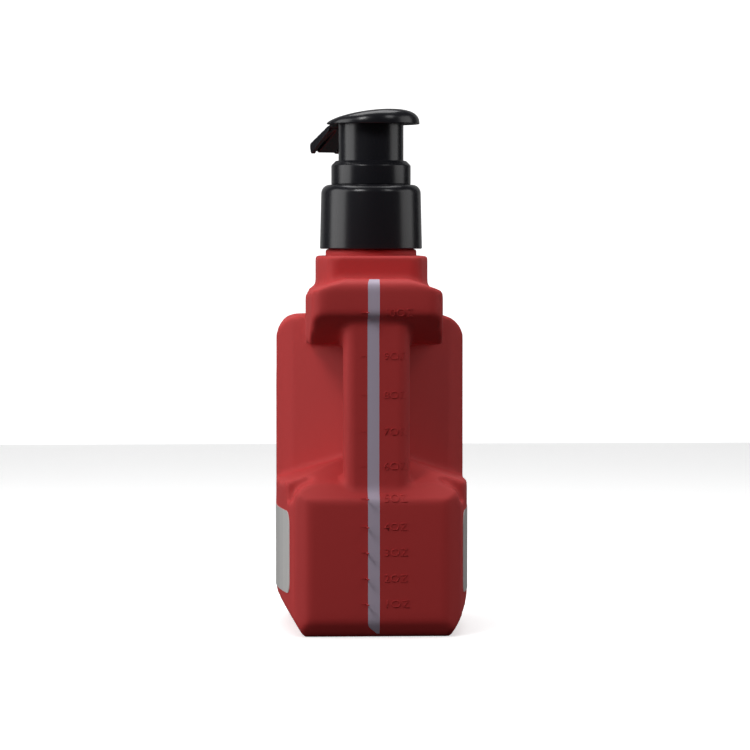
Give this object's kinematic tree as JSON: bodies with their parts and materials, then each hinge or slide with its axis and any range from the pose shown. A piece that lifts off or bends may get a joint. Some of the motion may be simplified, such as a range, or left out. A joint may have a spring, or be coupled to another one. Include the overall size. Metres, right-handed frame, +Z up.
{
  "type": "pump dispenser jug",
  "caption": "Small jug-shaped plastic bottle with a hollow side handle, a clear level stripe and a screw-on hand pump with a turning spout.",
  "frame": {"origin": "middle of the base, on the plane the jug stands on", "axes": "+Z up along the neck, +Y towards the end opposite the handle, +X across the broad faces"},
  "size_m": [0.0568, 0.078, 0.154],
  "materials": {
    "red_plastic": "fine sand-blasted satin",
    "clear_stripe": "cloudy natural plastic",
    "label_film": "printed adhesive film",
    "black_plastic": "polished moulding",
    "natural_plastic": "uncoloured moulding",
    "gasket_foam": "soft foam",
    "steel": "drawn stainless wire"
  },
  "bodies": {
    "jug": {"bottle": "red_plastic", "view_stripe": "clear_stripe", "left_label": "label_film", "right_label": "label_film"},
    "pump_base": {"pump_housing": "natural_plastic", "lock_ring": "black_plastic", "neck_gasket": "gasket_foam", "ball_retainer": "natural_plastic", "dip_tube": "natural_plastic"},
    "collar": {"closure": "black_plastic"},
    "plunger": {"stem": "natural_plastic", "stem_plug": "natural_plastic", "return_spring": "steel"},
    "piston": {"piston_seal": "natural_plastic"},
    "head": {"actuator": "black_plastic"},
    "ball": {"inlet_ball": "steel"}
  },
  "joints": [
    {"name": "pump_lift", "type": "slide", "parent": "jug", "child": "pump_base", "axis": [0, 0, 1], "range_m": [0, 0.0064]},
    {"name": "closure_turn", "type": "hinge", "parent": "pump_base", "child": "collar", "pos_m": [0, 0, 0.12], "axis": [0, 0, 1], "range_deg": [0, 540]},
    {"name": "pump_stroke", "type": "slide", "parent": "pump_base", "child": "plunger", "axis": [0, 0, -1], "range_m": [0, 0.009], "stiffness_N_per_m": 400, "springref_m": -0.012, "deforming": ["return_spring"]},
    {"name": "actuator_turn", "type": "hinge", "parent": "plunger", "child": "head", "pos_m": [0, 0, 0.14], "axis": [0, 0, 1], "continuous": true},
    {"name": "piston_slip", "type": "slide", "parent": "plunger", "child": "piston", "axis": [0, 0, 1], "range_m": [0, 0.0009]},
    {"name": "ball_lift", "type": "slide", "parent": "pump_base", "child": "ball", "axis": [0, 0, 1], "range_m": [0, 0.0015]}
  ],
  "couplings": [
    {"joint": "pump_lift", "follows": "closure_turn", "m_per_rad": 0.0006737}
  ]
}
